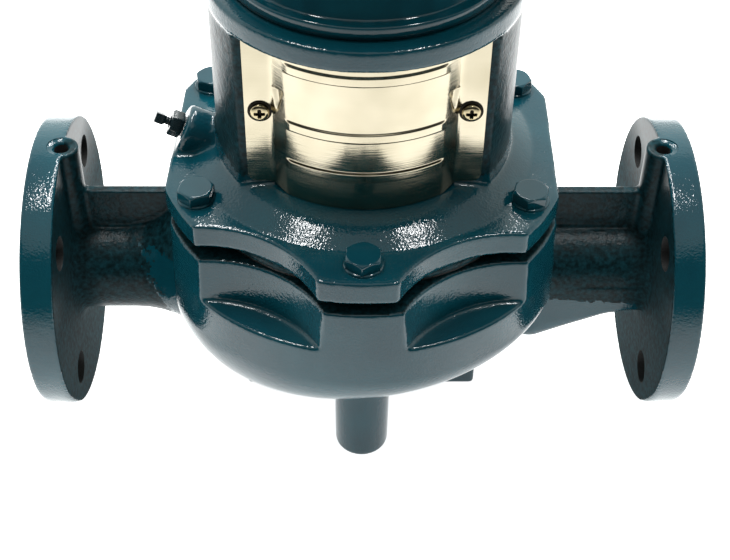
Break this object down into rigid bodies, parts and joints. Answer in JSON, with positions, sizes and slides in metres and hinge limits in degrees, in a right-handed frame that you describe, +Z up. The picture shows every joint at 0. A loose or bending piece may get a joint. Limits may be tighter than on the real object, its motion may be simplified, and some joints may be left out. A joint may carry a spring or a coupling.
{
  "type": "vertical circulation pump",
  "caption": "Vertical in-line circulation pump: flanged cast casing on feet, bolted cover with lantern, stainless coupling guards and a finned flange motor on top.",
  "frame": {"origin": "on the vertical axis of the pump, at the bottom of its feet, which is the bottom centre of its box", "axes": "+Z up along the shaft, +X along the port centre line towards the discharge port, +Y towards the back"},
  "size_m": [0.36, 0.226, 0.51],
  "materials": {
    "casting_paint": "gloss",
    "motor_paint": "gloss",
    "stainless": "bright",
    "dark_fitting": "semi-gloss",
    "machined_steel": "satin",
    "gasket_rubber": "matte",
    "black_polymer": "matte"
  },
  "bodies": {
    "root": {"cable_gland_1": "black_polymer", "cable_gland_2": "black_polymer", "cooling_fan": "black_polymer", "cover_bolt_1": "casting_paint", "cover_bolt_2": "casting_paint", "cover_bolt_3": "casting_paint", "cover_bolt_4": "casting_paint", "cover_bolt_5": "casting_paint", "cover_bolt_6": "casting_paint", "cover_gasket": "gasket_rubber", "cowl_screw_1": "machined_steel", "cowl_screw_2": "machined_steel", "cowl_screw_3": "machined_steel", "cowl_screw_4": "machined_steel", "fan_cowl": "motor_paint", "fan_shaft": "machined_steel", "front_guard": "stainless", "guard_screw_1": "stainless", "guard_screw_2": "stainless", "guard_screw_3": "stainless", "guard_screw_4": "stainless", "impeller": "machined_steel", "lantern_cover": "casting_paint", "lid_screw_1": "machined_steel", "lid_screw_2": "machined_steel", "lid_screw_3": "machined_steel", "lid_screw_4": "machined_steel", "motor_end_shield": "motor_paint", "motor_frame": "motor_paint", "motor_rear_shield": "motor_paint", "motor_shaft": "machined_steel", "pump_casing": "casting_paint", "pump_shaft": "machined_steel", "rear_guard": "stainless", "shaft_coupling": "machined_steel", "shaft_seal": "machined_steel", "terminal_box": "motor_paint", "terminal_box_lid": "motor_paint", "vent_body": "dark_fitting", "vent_screw": "dark_fitting"}
  },
  "joints": []
}
